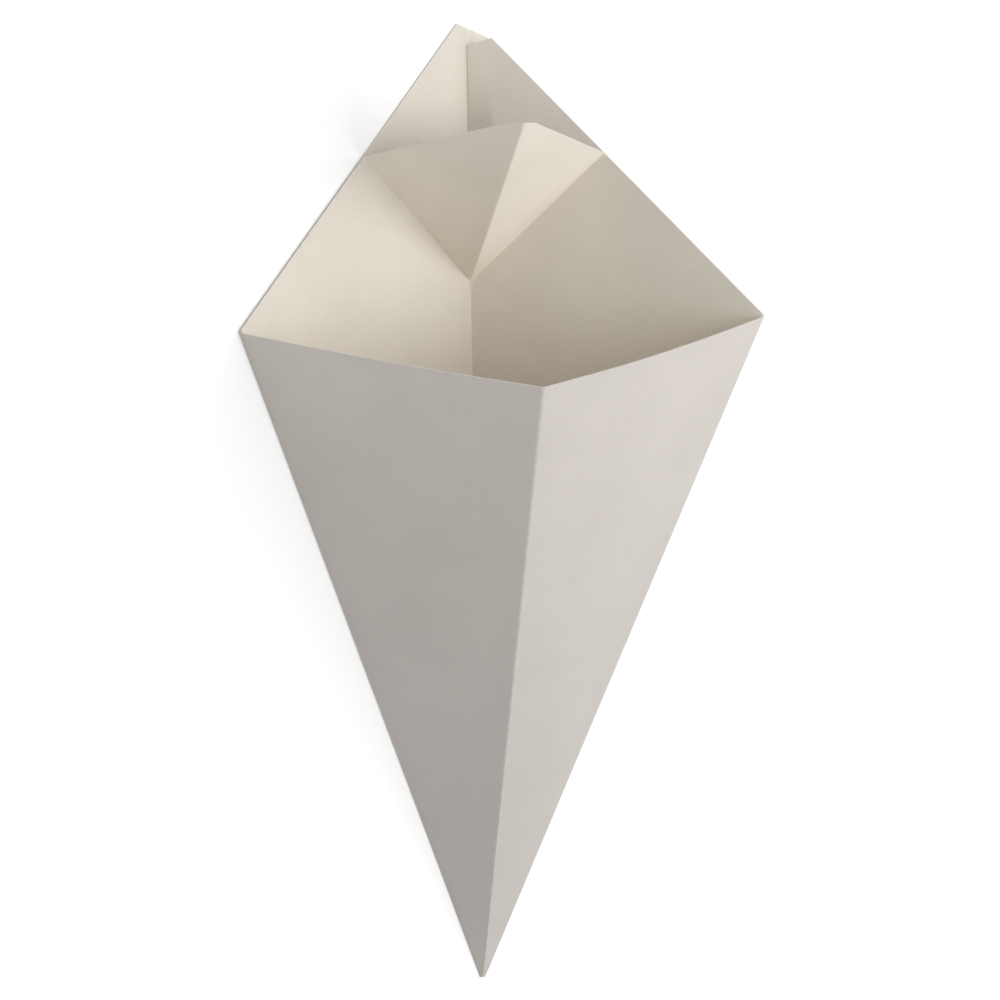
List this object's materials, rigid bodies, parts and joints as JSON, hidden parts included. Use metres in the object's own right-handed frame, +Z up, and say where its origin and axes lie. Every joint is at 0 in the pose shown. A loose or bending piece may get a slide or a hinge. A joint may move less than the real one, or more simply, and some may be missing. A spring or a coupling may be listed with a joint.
{
  "type": "paper fry cone",
  "caption": "Folded white card cone for fries, pointed below, with a low front rim, a tall peaked back and a sauce pocket folded out of the back corner.",
  "frame": {"origin": "on the floor under the middle of the bounding box of the cone as it lies", "axes": "+Y along the back crease from the tip to the peak, +Z up from the left back panel that it lies on, +X across that panel towards the right back panel, which rises from the crease"},
  "size_m": [0.1256, 0.26, 0.0654],
  "materials": {
    "card": "matt uncoated white card, slightly warm"
  },
  "bodies": {
    "root": {"folded_cone": "card"}
  },
  "joints": []
}
